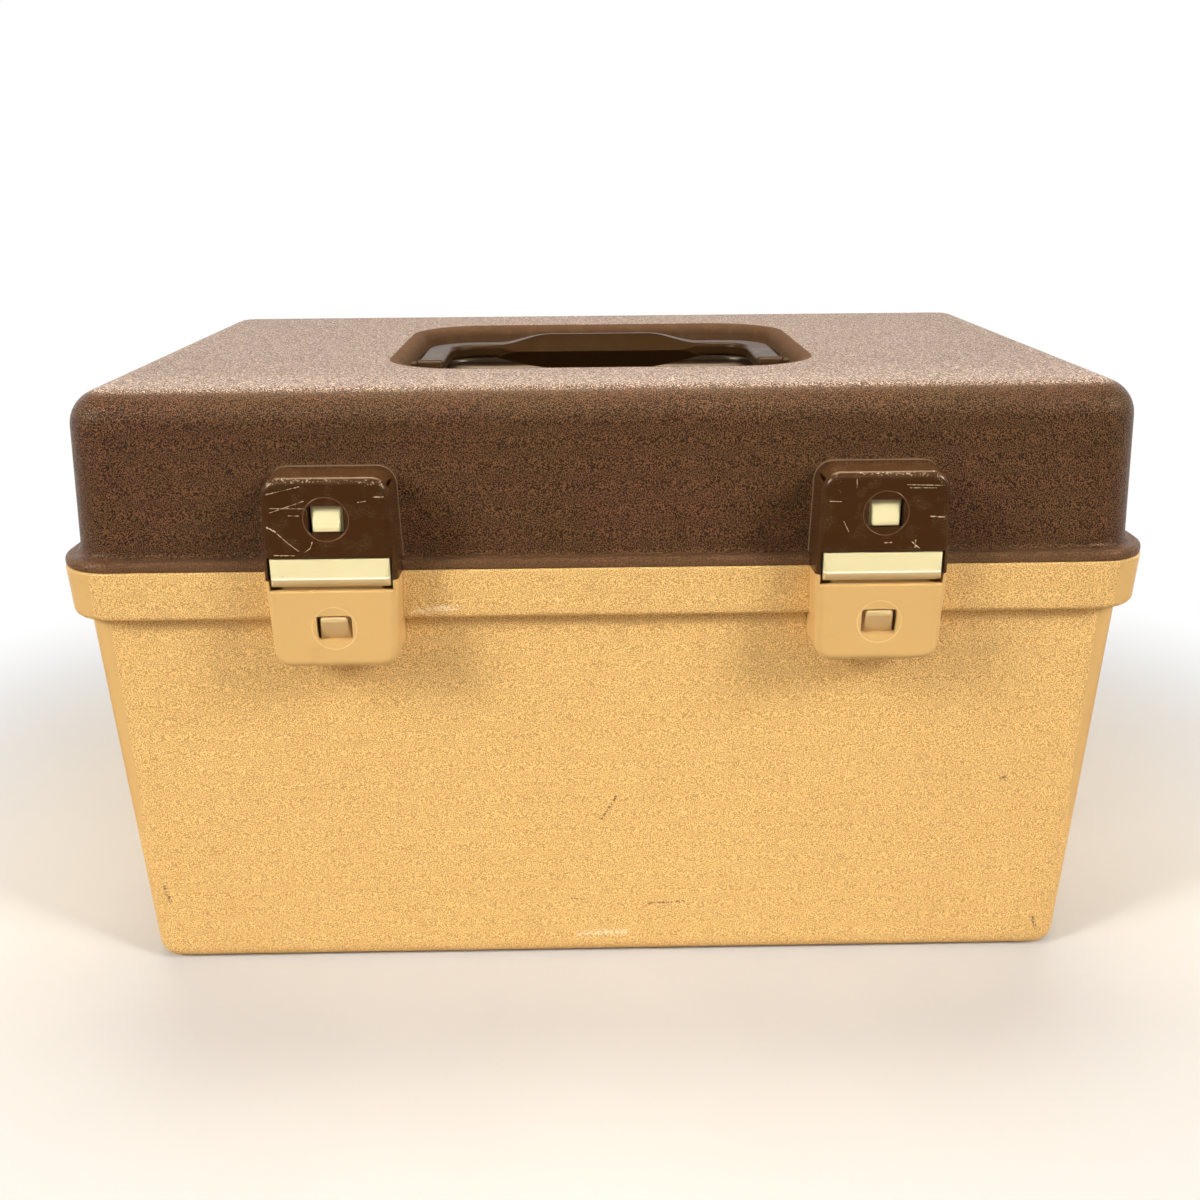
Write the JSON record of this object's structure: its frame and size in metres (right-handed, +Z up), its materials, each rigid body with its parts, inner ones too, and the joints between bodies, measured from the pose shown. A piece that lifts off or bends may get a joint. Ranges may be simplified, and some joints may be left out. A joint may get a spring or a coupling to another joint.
{
  "type": "sewing box",
  "caption": "Two-tone moulded sewing box with a hinged lid, a folding handle sunk into the lid, snap clips in front and a lift-out tray.",
  "frame": {"origin": "centre of the flat underside of the base, on the table, under the middle of the case with its latches and hinges", "axes": "+X to the right and +Y to the back, seen from the latch side; +Z up"},
  "size_m": [0.33, 0.2316, 0.1937],
  "materials": {
    "tan_plastic": "tan polyethylene with a fine leather grain, smooth latch housings",
    "brown_plastic": "brown polyethylene with a fine leather grain, smooth latch housings and handle well",
    "dark_brown_plastic": "smooth glossy dark brown plastic",
    "ivory_plastic": "smooth ivory plastic",
    "steel": "drawn steel wire",
    "tray_plastic": "smooth ivory plastic, slightly matt"
  },
  "bodies": {
    "base": {"base_shell": "tan_plastic", "hinge_pin_left": "steel", "hinge_pin_right": "steel"},
    "lid": {"lid_shell": "brown_plastic"},
    "handle": {"handle": "dark_brown_plastic"},
    "latch_left": {"latch_clip_left": "ivory_plastic"},
    "latch_right": {"latch_clip_right": "ivory_plastic"},
    "tray": {"tray": "tray_plastic"}
  },
  "joints": [
    {"name": "lid_hinge", "type": "hinge", "parent": "base", "child": "lid", "pos_m": [0, 0.1113, 0.1417], "axis": [-1, 0, 0], "range_deg": [0, 105]},
    {"name": "handle_swing", "type": "hinge", "parent": "lid", "child": "handle", "pos_m": [0, -0.014, 0.1876], "axis": [1, 0, 0], "range_deg": [0, 90]},
    {"name": "latch_press_left", "type": "hinge", "parent": "lid", "child": "latch_left", "pos_m": [-0.0798, -0.1118, 0.168], "axis": [1, 0, 0], "range_deg": [0, 4.5], "stiffness_Nm_per_rad": 1.5},
    {"name": "latch_press_right", "type": "hinge", "parent": "lid", "child": "latch_right", "pos_m": [0.0798, -0.1118, 0.168], "axis": [1, 0, 0], "range_deg": [0, 4.5], "stiffness_Nm_per_rad": 1.5},
    {"name": "tray_lift", "type": "slide", "parent": "base", "child": "tray", "axis": [0, 0, 1], "range_m": [0, 0.04]}
  ]
}
